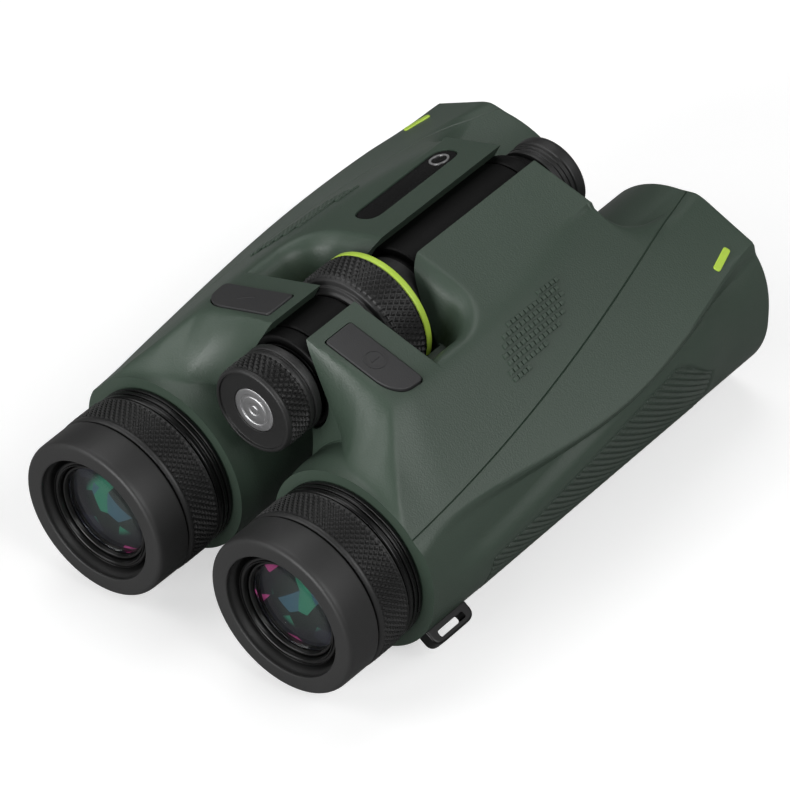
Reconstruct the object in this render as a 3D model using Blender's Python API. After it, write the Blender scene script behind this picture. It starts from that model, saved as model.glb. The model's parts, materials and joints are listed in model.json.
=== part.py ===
"""Laser rangefinder binocular: two armoured barrels folding about a hinge tube that also holds the battery.

Frame: +Y from the eyepieces to the objectives, +X to the user's right, +Z up, origin on the table under
the middle of the object's box. Lengths are written in millimetres and multiplied by MM. A "station" is a
distance forward of the eyecups' rear faces.
"""

import math

import bmesh
import bpy
from mathutils import Matrix, Vector

MM = 0.001

# Overall layout
LENGTH = 160.7  # eyecup face to objective bell
BARREL_X = 30.0  # half the distance between the eyes at rest
BARREL_DROP = 30.3  # barrel axis below the hinge axis
FOOT = 24.9  # barrel axis above the table, where the armour is flattened
HINGE_Z = FOOT + BARREL_DROP
GAP = 0.3  # between pieces that touch

# Body outline, in millimetres and degrees about a barrel's axis (0 outward, 90 up, 180 towards the hinge)
TUBE_R = 25.2
BELL_R = 28.0
NECK_R = 24.6
ROOF_ANGLE = 73.5
ROOF_D = 36.3
SLOT_X = 5.3
BODY_REAR = 27.0
BRIDGE_REAR = 41.0
BRIDGE_FRONT = 131.3
# station, direction and distance of the flat upper flank, angle of its lower edge
FLANK = (
    (27.0, 40.0, 25.0, 34.0),
    (55.0, 44.0, 27.3, 34.0),
    (90.0, 48.5, 29.1, 27.0),
    (115.0, 53.0, 29.2, 30.0),
    (130.0, 57.0, 28.9, 35.0),
    (160.7, 65.0, 27.9, 46.0),
)
# station and angle of the ridge above the ribbed grip
RIDGE = ((27.0, 2.0), (55.0, 5.0), (90.0, 15.5), (128.0, 26.0), (160.7, 30.0))
RIDGE_R = 27.2
# angle, and the stations where the rise from the neck to the roof starts and ends there
NECK_RISE = (
    (45.0, 27.1, 28.6),
    (60.0, 27.2, 31.5),
    (79.0, 27.8, 38.5),
    (90.0, 28.5, 43.5),
    (100.0, 31.0, 44.5),
    (110.0, 35.5, 43.5),
    (118.0, 39.0, 42.5),
)

# Hinge line
TUBE_REAR = 41.5
TUBE_FRONT = 134.2
HINGE_TUBE_R = 10.8
COLLAR_R = 12.9
HINGE_BORE_R = 13.2
CAP_R = 11.9
CAP_REAR = 27.8
CAP_FRONT = 40.0
BATTERY_R = 7.8
BATTERY_LENGTH = 27.0
WHEEL_R = 17.3
WHEEL_REAR = 61.9
WHEEL_FRONT = 83.0

# Eyepieces
EYECUP_R = 22.0
DIOPTRE_R = 22.3
EYE_TUBE_R = 15.2
EYE_BORE_R = 13.6

# Buttons, on the sloping roof
BUTTON_STATION = 50.5
BUTTON_WIDTH = 9.4
BUTTON_INNER = 8.9
BUTTON_OUTER = 31.5
BUTTON_SEAT = 3.2

ROUND = 32  # sides of a large turned piece
SMALL_ROUND = 20


def clear_scene():
    for obj in list(bpy.data.objects):
        bpy.data.objects.remove(obj, do_unlink=True)


def material(name, colour, roughness, metallic=0.0):
    made = bpy.data.materials.new(name)
    made.use_nodes = True
    shader = made.node_tree.nodes["Principled BSDF"]
    shader.inputs["Base Color"].default_value = (*colour, 1.0)
    shader.inputs["Roughness"].default_value = roughness
    shader.inputs["Metallic"].default_value = metallic
    return made


def world_y(station):
    return (station - LENGTH / 2) * MM


def blend(low, high, value):
    """0 below low, 1 above high, with a smooth step between."""
    share = min(1.0, max(0.0, (value - low) / (high - low)))
    return share * share * (3 - 2 * share)


def along(table, station, column):
    """A column of a table read at a station, with straight runs between its rows."""
    for before, after in zip(table, table[1:]):
        if station <= after[0]:
            share = max(0.0, (station - before[0]) / (after[0] - before[0]))
            return before[column] + share * (after[column] - before[column])
    return table[-1][column]


def cosine(degrees):
    return math.cos(math.radians(degrees))


def side_radius(angle, station):
    """The grip side of a barrel, from the underside up to the foot of the flank."""
    ridge = along(RIDGE, station, 1)
    swell = blend(-40, ridge, angle) * (1 - 0.6 * blend(ridge, ridge + 14, angle))
    rear_fade = blend(30, 50, station) * (1 - blend(132, 150, station))
    return TUBE_R + (RIDGE_R - TUBE_R) * swell * rear_fade + 0.6 * blend(-10, 25, angle)


def upper_radius(angle, station):
    """The flank and the roof: flat planes, cut off by the slot wall beside the hinge."""
    flank = along(FLANK, station, 2) / max(0.2, cosine(angle - along(FLANK, station, 1)))
    roof = ROOF_D / max(0.2, cosine(angle - ROOF_ANGLE))
    limit = min(flank if angle < ROOF_ANGLE + 20 else roof, roof)
    if angle > 95:
        limit = min(limit, (BARREL_X - SLOT_X) / -cosine(angle))
    return limit


def barrel_radius(angle, station):
    """Distance from a barrel's axis to its armour, bridge included."""
    edge = along(FLANK, station, 3)
    lower = side_radius(angle, station) if angle < 90 else TUBE_R
    full = lower + (upper_radius(angle, station) - lower) * blend(edge - 7, edge, angle)
    if angle > 160:
        full = TUBE_R + (full - TUBE_R) * (1 - blend(160, 172, angle))
    # The neck behind the roof: a wall behind the knob, a slope over the barrel.
    start = along(NECK_RISE, angle, 1)
    end = along(NECK_RISE, angle, 2)
    neck = NECK_R + (TUBE_R - NECK_R) * blend(27, 34, station)
    radius = neck + (full - neck) * blend(start, end, station)
    # The bell: a wall in front of the bridge, a ramp over the barrel.
    bell = TUBE_R + (BELL_R - TUBE_R) * blend(-5, 43, angle) * (1 - blend(145, 176, angle))
    ramp = 1 - blend(60, 98, angle)
    front_start = BRIDGE_FRONT - 0.6 + 4.0 * ramp
    front_end = BRIDGE_FRONT + 1.2
    if angle < 98:
        front_end = BRIDGE_FRONT + 26.0 - 24.0 * blend(80, 98, angle)
    return radius + (bell - radius) * blend(front_start, front_end, station)


def add_object(name, bm, made_of, place=(0, 0, 0)):
    """A mesh object from bm, whose coordinates are millimetres from place."""
    bmesh.ops.remove_doubles(bm, verts=bm.verts, dist=0.0005)
    bmesh.ops.recalc_face_normals(bm, faces=bm.faces)
    bmesh.ops.scale(bm, vec=(MM, MM, MM), verts=bm.verts)
    mesh = bpy.data.meshes.new(name)
    bm.to_mesh(mesh)
    bm.free()
    mesh.shade_smooth()
    mesh.set_sharp_from_angle(angle=math.radians(30))
    if made_of:
        mesh.materials.append(made_of)
    obj = bpy.data.objects.new(name, mesh)
    obj.location = place
    bpy.context.scene.collection.objects.link(obj)
    return obj


def turned(name, outline, made_of, place, sides=ROUND):
    """A piece turned about a line along Y. outline is closed, as (radius, station) points."""
    bm = bmesh.new()
    points = [bm.verts.new((radius, station - LENGTH / 2, 0)) for radius, station in outline]
    edges = [bm.edges.new((a, b)) for a, b in zip(points, points[1:] + points[:1])]
    axis_edges = [e for e in edges if all(v.co.x < 1e-6 for v in e.verts)]
    for edge in axis_edges:
        bm.edges.remove(edge)
        edges.remove(edge)
    bmesh.ops.spin(
        bm, geom=points + edges, cent=(0, 0, 0), axis=(0, 1, 0), dvec=(0, 0, 0),
        angle=math.tau, steps=sides, use_merge=True, use_duplicate=False,
    )
    return add_object(name, bm, made_of, place)


def ring(name, inner, outer, rear, front, made_of, place, sides=ROUND):
    outline = [(inner, rear), (outer, rear), (outer, front), (inner, front)]
    return turned(name, outline, made_of, place, sides)


def block(name, low, high, made_of, place, turn=Matrix.Identity(3)):
    """A box between two corners, in millimetres in its own axes."""
    bm = bmesh.new()
    bmesh.ops.create_cube(bm, size=1)
    size = Vector(high) - Vector(low)
    middle = (Vector(high) + Vector(low)) / 2
    bmesh.ops.scale(bm, vec=size, verts=bm.verts)
    bmesh.ops.translate(bm, vec=middle, verts=bm.verts)
    bmesh.ops.rotate(bm, cent=(0, 0, 0), matrix=turn, verts=bm.verts)
    return add_object(name, bm, made_of, place)


def slab(name, outline, low, high, made_of, place, turn=Matrix.Identity(3)):
    """A flat plate: an outline of (x, y) points drawn up from low to high, then turned into place."""
    bm = bmesh.new()
    face = bm.faces.new([bm.verts.new((x, y, low)) for x, y in outline])
    drawn = bmesh.ops.extrude_face_region(bm, geom=[face])["geom"]
    corners = [v for v in drawn if isinstance(v, bmesh.types.BMVert)]
    bmesh.ops.translate(bm, vec=(0, 0, high - low), verts=corners)
    bmesh.ops.rotate(bm, cent=(0, 0, 0), matrix=turn, verts=bm.verts)
    return add_object(name, bm, made_of, place)


def rounded_outline(x0, y0, x1, y1, radii, steps=4):
    """A rectangle whose corners, from the low one counter-clockwise, have the radii given."""
    corners = ((x0, y0, 180), (x1, y0, 270), (x1, y1, 0), (x0, y1, 90))
    points = []
    for (x, y, start), radius in zip(corners, radii):
        cx = x + radius if x == x0 else x - radius
        cy = y + radius if y == y0 else y - radius
        for i in range(steps + 1):
            turn = math.radians(start + 90 * i / steps)
            points.append((cx + radius * math.cos(turn), cy + radius * math.sin(turn)))
            if radius == 0:
                break
    return points


def loft(name, rings, made_of, place):
    """A closed solid through rings of points, each ring the same length, capped at both ends."""
    bm = bmesh.new()
    rows = [[bm.verts.new(point) for point in ring_points] for ring_points in rings]
    for before, after in zip(rows, rows[1:]):
        for i in range(len(before)):
            j = (i + 1) % len(before)
            bm.faces.new((before[i], before[j], after[j], after[i]))
    bm.faces.new(rows[0])
    bm.faces.new(rows[-1])
    return add_object(name, bm, made_of, place)


def as_cutter(obj):
    obj.hide_render = True
    obj.display_type = "WIRE"
    return obj


def boolean(obj, other, operation):
    modifier = obj.modifiers.new(operation.title() + " " + other.name, "BOOLEAN")
    modifier.operation = operation
    modifier.solver = "EXACT"
    modifier.object = as_cutter(other)


def cut(obj, other):
    boolean(obj, other, "DIFFERENCE")


def hinge_line():
    return (0, 0, HINGE_Z * MM)


def barrel_line(side):
    return (side * BARREL_X * MM, 0, FOOT * MM)


def roof_turn(side):
    """Turns a plate's own +Z onto the roof's normal, its +X running outward down the roof."""
    return Matrix.Rotation(math.radians(90 - ROOF_ANGLE) * side, 3, "Y")


def roof_height(x):
    """Height of the roof above the hinge axis at a distance x from the hinge plane."""
    barrel_side = ROOF_D - (x - BARREL_X) * cosine(ROOF_ANGLE)
    return barrel_side / math.sin(math.radians(ROOF_ANGLE)) - BARREL_DROP


def roof_place(side, x):
    return (side * x * MM, 0, (HINGE_Z + roof_height(x)) * MM)


ANGLES = (
    -81.3, -66, -40, -15, 2, 14, 22, 28, 34, 40, 48, 58, 68, 77, 85, 90, 95, 100, 106, 112, 118.6,
    124, 130, 137, 145, 153, 161, 172, 190, 210, 230, 247, 261.3,
)
STATIONS = (27, 28.5, 30.5, 33, 35, 37, 39, 40.5, 42, 43.5, 45, 55, 72, 90, 110, 126, 130.4, 131.4, 132.6, 138, 146,
            155, 160.7)


def body_ring(side, station):
    points = []
    for angle in ANGLES:
        radius = barrel_radius(angle, station)
        x = side * radius * cosine(angle)
        z = max(-FOOT, radius * math.sin(math.radians(angle)))
        points.append((x, station - LENGTH / 2, z))
    return points


def grip_edge(station):
    """Upper edge of the ribbed panel, rounded off at its front end."""
    return along(RIDGE, station, 1) - 5 - 22 * blend(124, 137, station)


def grip_patch(name, side, inner, outer, grow, made_of):
    """The panel's curved slab, between two depths below the armour, widened all round by grow."""
    first, last = 47.0 - grow, 136.0 + grow
    rings = []
    for step in range(9):
        station = first + (last - first) * step / 8
        low, high = -58 - 2 * grow, grip_edge(station) + 2 * grow
        angles = [low + (high - low) * i / 6 for i in range(7)]
        row = [(a, outer) for a in angles] + [(a, inner) for a in reversed(angles)]
        points = []
        for angle, depth in row:
            radius = side_radius(angle, station) + depth
            height = radius * math.sin(math.radians(angle))
            points.append((side * radius * cosine(angle), station - LENGTH / 2, height))
        rings.append(points)
    return loft(name, rings, made_of, barrel_line(side))


def make_body(side, name, armour):
    body = loft(name, [body_ring(side, s) for s in STATIONS], armour, barrel_line(side))
    bore = [(0, 25), (18.2, 25), (18.2, 47), (20.6, 49), (20.6, 86), (21.2, 88),
            (21.2, 128), (22.3, 130), (22.3, 162), (0, 162)]
    cut(body, turned(name + "_bore_cutter", bore, None, barrel_line(side)))
    hinge_bore = [(0, 20), (HINGE_BORE_R, 20), (HINGE_BORE_R, 61.6), (18.3, 61.6),
                  (18.3, 78), (HINGE_BORE_R + 0.6, 84), (HINGE_BORE_R, 150), (0, 150)]
    cut(body, turned(name + "_hinge_cutter", hinge_bore, None, hinge_line()))
    cut(body, wheel_scoop(name + "_scoop_cutter"))
    seat = button_outline(GAP)
    depth = -BUTTON_SEAT
    cut(body, slab(name + "_button_cutter", mirrored(seat, side), depth, 3, None,
                   roof_place(side, 0), roof_turn(side)))
    cut(body, block(name + "_switch_cutter", (side * 21 - 3.6, -3.6, -7), (side * 21 + 3.6, 3.6, 1), None,
                    roof_middle(side), roof_turn(side)))
    cut(body, lime_bar(name + "_mark_cutter", side, -1.2, 2, GAP, None))
    cut(body, grip_patch(name + "_grip_cutter", side, -1.6, 2, GAP, None))
    if side < 0:
        cut(body, slab(name + "_badge_cutter", badge_outline(GAP), -1.3, 2, None,
                       roof_place(-1, 0), roof_turn(-1)))
    return body


def wheel_scoop(name):
    """The finger hollow round the focus wheel, wide at the roof and narrower below."""
    low = rounded_outline(-21, 61.6, 21, 77, (5, 5, 10, 10))
    high = rounded_outline(-32, 61.6, 32, 87, (7, 7, 18, 18))
    rings = [[(x, y - LENGTH / 2, z) for x, y in outline] for outline, z in ((low, -3), (high, 17))]
    return loft(name, rings, None, hinge_line())


def mirrored(outline, side):
    return [(x * side, y) for x, y in outline]


def button_outline(grow):
    """Square towards the hinge, rounded at its outer end; x runs down the roof from the hinge plane."""
    stretch = 1 / math.sin(math.radians(ROOF_ANGLE))
    middle = BUTTON_STATION - LENGTH / 2
    half = BUTTON_WIDTH / 2 + grow
    inner = BUTTON_INNER * stretch - grow
    outer = BUTTON_OUTER * stretch + grow
    return rounded_outline(inner, middle - half, outer, middle + half, (1, 4.5, 4.5, 1))


def roof_middle(side):
    place = Vector(roof_place(side, 0))
    place.y = world_y(BUTTON_STATION)
    return place


def badge_outline(grow):
    middle_x, half = -18.2, 3.9 + grow
    rear, front = 90.8 - LENGTH / 2 - grow, 125.6 - LENGTH / 2 + grow
    return rounded_outline(middle_x - half, rear, middle_x + half, front, (half,) * 4)


def lime_bar(name, side, low, high, grow, made_of):
    """The short raised dash on the bell."""
    angle, radius = 49.0, 28.9
    outline = rounded_outline(-0.8 - grow, -4.4 - grow, 0.8 + grow, 4.4 + grow, (0.8 + grow,) * 4)
    place = Vector(barrel_line(side))
    place.x += side * radius * cosine(angle) * MM
    place.z += radius * math.sin(math.radians(angle)) * MM
    place.y = world_y(149.2)
    turn = Matrix.Rotation(math.radians(90 - angle) * side, 3, "Y")
    return slab(name, outline, low, high, made_of, place, turn)


def make_button(side, name, made_of):
    """A sprung key standing a little proud of the roof."""
    plate = mirrored(button_outline(0), side)
    return slab(name, plate, -1.6, 0.5, made_of, roof_place(side, 0), roof_turn(side))


def make_lug(side, name, made_of):
    """A strap loop on the lower outer side, seen flat along the barrel."""
    outer = rounded_outline(25.8, 28.0 - LENGTH / 2, 29.8, 43.0 - LENGTH / 2, (0.4, 3.2, 3.2, 0.4))
    turn = Matrix.Rotation(math.radians(38) * side, 3, "Y")
    lug = slab(name, mirrored(outer, side), -2, 2, made_of, barrel_line(side), turn)
    hole = rounded_outline(26.9, 31.0 - LENGTH / 2, 28.5, 40.0 - LENGTH / 2, (0.7,) * 4)
    cut(lug, slab(name + "_hole_cutter", mirrored(hole, side), -5, 5, None, barrel_line(side), turn))
    return lug


def make_eyepiece(side, hand, mats):
    line = barrel_line(side)
    cup = [(EYECUP_R, 1.2), (EYECUP_R, 10.4), (17.6, 10.4), (17.6, 20.5), (16.4, 20.5), (16.4, 2.2),
           (17.4, 0), (21, 0)]
    turned(hand + "_eyecup", cup, mats["rubber"], line)
    ring(hand + "_eyecup_key_ring", 15.5, 16.1, 14, 19.5, mats["metal"], line)
    dioptre = [(17.9, 10.8), (21.6, 10.8), (DIOPTRE_R, 12.4), (DIOPTRE_R, 21.2), (21.7, 21.6), (17.9, 21.6)]
    turned(hand + "_dioptre_ring", dioptre, mats["rubber"], line)
    ring(hand + "_base_ring", EYE_TUBE_R + GAP, 21.9, 21.9, 26.7, mats["plastic"], line)
    tube = [(EYE_BORE_R, 4.5), (14.6, 2.5), (EYE_TUBE_R, 2.5), (EYE_TUBE_R, 27), (17.9, 27), (17.9, 46),
            (EYE_BORE_R, 46)]
    turned(hand + "_eyepiece_tube", tube, mats["plastic"], line)
    ring(hand + "_ocular_cell", 12.6, 13.3, 3.6, 22, mats["metal"], line)
    lens = [(0, 2.4), (5.0, 2.8), (9.0, 3.6), (12.3, 4.8), (12.3, 9), (0, 10.5)]
    turned(hand + "_eye_lens", lens, mats["glass"], line, SMALL_ROUND)


def make_optics(side, hand, mats):
    line = barrel_line(side)
    turned(hand + "_objective_lens", [(0, 149), (21.6, 150.5), (21.6, 154.5), (0, 156.5)], mats["glass"], line)
    ring(hand + "_objective_ring", 20.4, 22.0, 156.8, 159.4, mats["metal"], line)
    ring(hand + "_focus_cell", 17.6, 20.6, 97, 104, mats["metal"], line)
    turned(hand + "_focus_lens", [(0, 98), (17.3, 98.6), (17.3, 102), (0, 103)], mats["glass"], line, SMALL_ROUND)
    outline = [(-12.5, -12.5), (12.5, -12.5), (12.5, 9), (7, 14), (-7, 14), (-12.5, 9)]
    upright = Matrix.Rotation(math.radians(90), 3, "X")
    rear, front = 52 - LENGTH / 2, 82 - LENGTH / 2
    slab(hand + "_prism_block", outline, -front, -rear, mats["glass"], line, upright)


def make_electronics(mats):
    left, right = barrel_line(-1), barrel_line(1)
    middle = LENGTH / 2
    sensor_line = Vector((0, 0, 17 * MM))
    turned("laser_emitter", [(0, 56), (2.7, 56), (2.7, 70), (0, 70)], mats["metal"],
           Vector(right) + sensor_line, 12)
    turned("laser_receiver", [(0, 56), (2.7, 56), (2.7, 66), (0, 66)], mats["metal"],
           Vector(left) + sensor_line, 12)
    block("display_module", (-6, 60 - middle, -18), (6, 74 - middle, -13), mats["plastic"], right)
    block("circuit_board", (-16.4, 52 - middle, -9), (-15.2, 82 - middle, 9), mats["board"], left)


def make_hinge(mats):
    line = hinge_line()
    tube = [(8.3, TUBE_REAR), (HINGE_TUBE_R, TUBE_REAR), (HINGE_TUBE_R, TUBE_FRONT), (5.9, TUBE_FRONT),
            (5.9, 110), (0, 110), (0, 73.4), (8.3, 73.4)]
    turned("hinge_tube", tube, mats["plastic"], line)
    collar_in = HINGE_TUBE_R + GAP
    ring("left_rear_collar", collar_in, COLLAR_R, 41.9, 46.5, mats["plastic"], line)
    ring("right_rear_collar", collar_in, COLLAR_R, 46.8, 61.2, mats["plastic"], line)
    ring("right_front_collar", collar_in, COLLAR_R, 84.5, 126.8, mats["plastic"], line)
    ring("left_front_collar", collar_in, COLLAR_R, 127.1, 131.2, mats["plastic"], line)
    cell_rear = 43.8
    cell_front = cell_rear + BATTERY_LENGTH
    battery = [(0, cell_rear), (BATTERY_R, cell_rear), (BATTERY_R, cell_front - 1), (3, cell_front - 1),
               (3, cell_front), (0, cell_front)]
    turned("battery", battery, mats["metal"], line, SMALL_ROUND)
    ring_front = cell_front + 2
    turned("battery_contact", [(0, cell_front + 0.4), (7.9, cell_front + 1.2), (7.9, ring_front), (0, ring_front)],
           mats["brass"], line, SMALL_ROUND)
    turned("tripod_bush", [(2.65, 112), (5.6, 112), (5.6, 130), (2.65, 130)], mats["brass"], line, SMALL_ROUND)


def make_caps(mats):
    line = hinge_line()
    knob = [(0, 28.6), (10.6, 28.6), (10.6, CAP_REAR), (CAP_R - 0.5, CAP_REAR), (CAP_R, 28.4), (CAP_R, 36.5),
            (CAP_R - 0.5, 37), (CAP_R, 37.5), (CAP_R, CAP_FRONT), (8.0, CAP_FRONT), (8.0, 43.4), (0, 43.4)]
    turned("battery_cap", knob, mats["rubber"], line)
    turned("battery_cap_emblem", [(0, 27.6), (6.1, 27.6), (6.1, 28.3), (0, 28.3)], mats["silver"], line)
    ring("battery_cap_seal", 8.7, 10.3, CAP_FRONT + GAP, TUBE_REAR - GAP, mats["rubber"], line)
    front = [(0, 143.4), (9.6, 144.2), (11.2, 143.6), (11.2, 140.2), (10.6, 139.8), (10.6, 135.4),
             (5.3, 135.4), (5.3, 130.4), (0, 130.4)]
    turned("front_cap", front, mats["rubber"], line)
    ring("front_cap_seal", 6.2, 8.6, TUBE_FRONT + GAP, 135.1, mats["rubber"], line)


def make_focus(mats):
    line = hinge_line()
    bore = HINGE_TUBE_R + GAP
    wheel = [(bore, WHEEL_REAR), (13, WHEEL_REAR), (14.4, 63.2), (16.2, 63.4), (WHEEL_R, 64.4), (WHEEL_R, 73.0),
             (15.4, 73.0), (15.4, 75.6), (14, 76.2), (13, WHEEL_FRONT), (bore, WHEEL_FRONT)]
    turned("focus_wheel", wheel, mats["rubber"], line, 36)
    ring("focus_wheel_ring", 15.7, 17.1, 73.3, 75.3, mats["lime"], line, 36)


def make_switches(side, name, made_of):
    high = -BUTTON_SEAT + 0.5
    block(name, (side * 21 - 3, -3, -6.7), (side * 21 + 3, 3, high), made_of, roof_middle(side), roof_turn(side))


def main():
    clear_scene()
    mats = {
        "armour": material("armour rubber", (0.045, 0.065, 0.055), 0.55),
        "rubber": material("black rubber", (0.02, 0.02, 0.02), 0.6),
        "plastic": material("black plastic", (0.015, 0.015, 0.015), 0.4),
        "button": material("charcoal plastic", (0.05, 0.05, 0.055), 0.45),
        "lime": material("lime plastic", (0.55, 0.85, 0.05), 0.4),
        "silver": material("silver metal", (0.75, 0.75, 0.76), 0.25, 1.0),
        "metal": material("dark metal", (0.08, 0.08, 0.085), 0.35, 1.0),
        "brass": material("brass", (0.7, 0.55, 0.3), 0.3, 1.0),
        "glass": material("coated glass", (0.1, 0.2, 0.2), 0.02),
        "board": material("board", (0.02, 0.15, 0.06), 0.5),
    }
    for side, hand in ((-1, "left"), (1, "right")):
        make_body(side, hand + "_body", mats["armour"])
        grip_patch(hand + "_grip_panel", side, -1.3, 0.2, 0, mats["rubber"])
        make_eyepiece(side, hand, mats)
        make_optics(side, hand, mats)
        make_lug(side, hand + "_strap_lug", mats["plastic"])
        lime_bar(hand + "_lime_mark", side, -0.9, 0.4, 0, mats["lime"])
        make_switches(side, hand + "_switch", mats["plastic"])
    make_button(1, "measure_button", mats["button"])
    make_button(-1, "mode_button", mats["button"])
    make_electronics(mats)
    make_hinge(mats)
    make_caps(mats)
    make_focus(mats)
    slab("badge_plate", badge_outline(0), -1.0, -0.1, mats["plastic"], roof_place(-1, 0), roof_turn(-1))


main()
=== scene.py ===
import json
import math

import bpy
import numpy as np
from mathutils import Matrix, Vector


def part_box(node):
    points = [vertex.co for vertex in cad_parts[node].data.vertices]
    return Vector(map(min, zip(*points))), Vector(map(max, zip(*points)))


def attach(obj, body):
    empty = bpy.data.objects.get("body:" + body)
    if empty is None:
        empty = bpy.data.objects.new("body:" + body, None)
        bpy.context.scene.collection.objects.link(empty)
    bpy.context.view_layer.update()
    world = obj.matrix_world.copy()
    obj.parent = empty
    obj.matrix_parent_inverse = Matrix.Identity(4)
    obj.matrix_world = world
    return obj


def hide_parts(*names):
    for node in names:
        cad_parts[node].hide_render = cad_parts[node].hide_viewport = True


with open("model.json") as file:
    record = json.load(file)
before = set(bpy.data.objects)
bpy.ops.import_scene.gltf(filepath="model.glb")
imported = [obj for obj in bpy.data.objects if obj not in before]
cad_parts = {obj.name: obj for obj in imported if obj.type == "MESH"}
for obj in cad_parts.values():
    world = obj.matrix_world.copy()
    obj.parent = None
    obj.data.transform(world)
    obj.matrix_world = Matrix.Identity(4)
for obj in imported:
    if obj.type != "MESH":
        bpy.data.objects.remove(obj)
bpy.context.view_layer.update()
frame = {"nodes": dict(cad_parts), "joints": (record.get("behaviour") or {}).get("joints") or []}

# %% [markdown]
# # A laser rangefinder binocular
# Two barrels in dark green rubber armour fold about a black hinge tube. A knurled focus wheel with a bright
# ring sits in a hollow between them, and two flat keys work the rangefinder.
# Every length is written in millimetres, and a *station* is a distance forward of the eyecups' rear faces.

MM = 0.001
joints = {joint["name"]: joint for joint in frame["joints"]}
hinge = Vector(joints["hinge_fold"]["pos_m"])
cup_low, cup_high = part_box("right_eyecup")
REAR = cup_low.y
LENGTH = (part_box("right_body")[1].y - REAR) / MM
BARREL_X = (cup_low.x + cup_high.x) / 2 / MM
FOOT = (cup_low.z + cup_high.z) / 2 / MM
BARREL_DROP = hinge.z / MM - FOOT
SIDES = {"left": -1, "right": 1}
print(f"length {LENGTH:.1f}, barrels at {BARREL_X:.1f}, hinge {BARREL_DROP:.1f} mm above their axes")


def on_line(x, height):
    """A point of a line that runs along Y, given in millimetres."""
    return Vector((x * MM, 0, height * MM))


hinge_line = on_line(0, hinge.z / MM)
barrel_line = {hand: on_line(side * BARREL_X, FOOT) for hand, side in SIDES.items()}

# %% [markdown]
# ## Helpers for modelling
# A Blender operator acts on all that is selected, so each piece starts with nothing selected.
# A round piece is drawn as half of its section, a closed outline of radii and stations, and spun about its
# line. Its corners are rounded in the outline, because real edges are never razor sharp and a small round
# catches the light.


# %% Helpers for modelling
def deselect():
    if bpy.context.mode != "OBJECT":
        bpy.ops.object.mode_set(mode="OBJECT")
    bpy.ops.object.select_all(action="DESELECT")


def take(piece):
    deselect()
    piece.select_set(True)
    bpy.context.view_layer.objects.active = piece


def edit_all(piece):
    take(piece)
    bpy.ops.object.mode_set(mode="EDIT")
    bpy.ops.mesh.select_all(action="SELECT")


def heal(piece, crease=30):
    """Merges doubles, points the faces outwards and shades them smooth up to an angle."""
    edit_all(piece)
    bpy.ops.mesh.remove_doubles(threshold=1e-6)
    bpy.ops.mesh.dissolve_degenerate(threshold=1e-6)
    bpy.ops.mesh.delete_loose()
    bpy.ops.mesh.select_all(action="SELECT")
    bpy.ops.mesh.normals_make_consistent(inside=False)
    bpy.ops.object.mode_set(mode="OBJECT")
    bpy.ops.object.shade_smooth_by_angle(angle=math.radians(crease))


def soften(corners, steps=4):
    """Rounds the corners of a closed outline. A corner is (x, y, rounding)."""
    points = []
    for i, (x, y, rounding) in enumerate(corners):
        here = Vector((x, y))
        if rounding <= 0:
            points.append((x, y))
            continue
        before = Vector(corners[i - 1][:2]) - here
        after = Vector(corners[(i + 1) % len(corners)][:2]) - here
        first = here + before.normalized() * min(rounding, before.length * 0.49)
        last = here + after.normalized() * min(rounding, after.length * 0.49)
        for k in range(steps + 1):
            t = k / steps
            points.append(tuple(first * (1 - t) ** 2 + here * 2 * t * (1 - t) + last * t * t))
    return points


def spin(name, corners, line, sides=96, crease=30):
    """A turned piece from a closed outline of (radius, station, rounding) corners."""
    outline = soften(corners)
    deselect()
    bpy.ops.mesh.primitive_circle_add(vertices=len(outline), fill_type="NOTHING")
    piece = bpy.context.object
    piece.name = name
    for vertex, (radius, station) in zip(piece.data.vertices, outline):
        vertex.co = (line.x + radius * MM, REAR + station * MM, line.z)
    edit_all(piece)
    bpy.ops.mesh.spin(steps=sides, angle=math.tau, center=line, axis=(0, 1, 0))
    heal(piece, crease)
    return piece


def apply_all(piece):
    take(piece)
    for modifier in list(piece.modifiers):
        bpy.ops.object.modifier_apply(modifier=modifier.name)


def join(name, pieces):
    take(pieces[0])
    for piece in pieces:
        piece.select_set(True)
    bpy.ops.object.join()
    joined = bpy.context.object
    joined.name = name
    return joined


def finish(piece, body, finish_material, slot, *nodes):
    """Gives a piece its material and its body, and hides the CAD nodes that it stands for."""
    piece.data.materials.clear()
    piece.data.materials.append(finish_material)
    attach(piece, body)
    if nodes:
        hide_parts(*nodes)


# %% [markdown]
# ## Finishes
# Nearly everything here is moulded or anodised, so one node group serves most of them: a fine grain that
# bends the light, a slow drift of colour over the surface, and a roughness that wanders a little.
# The group reads Object coordinates, which are metres, so its scales are counts per metre.


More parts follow.
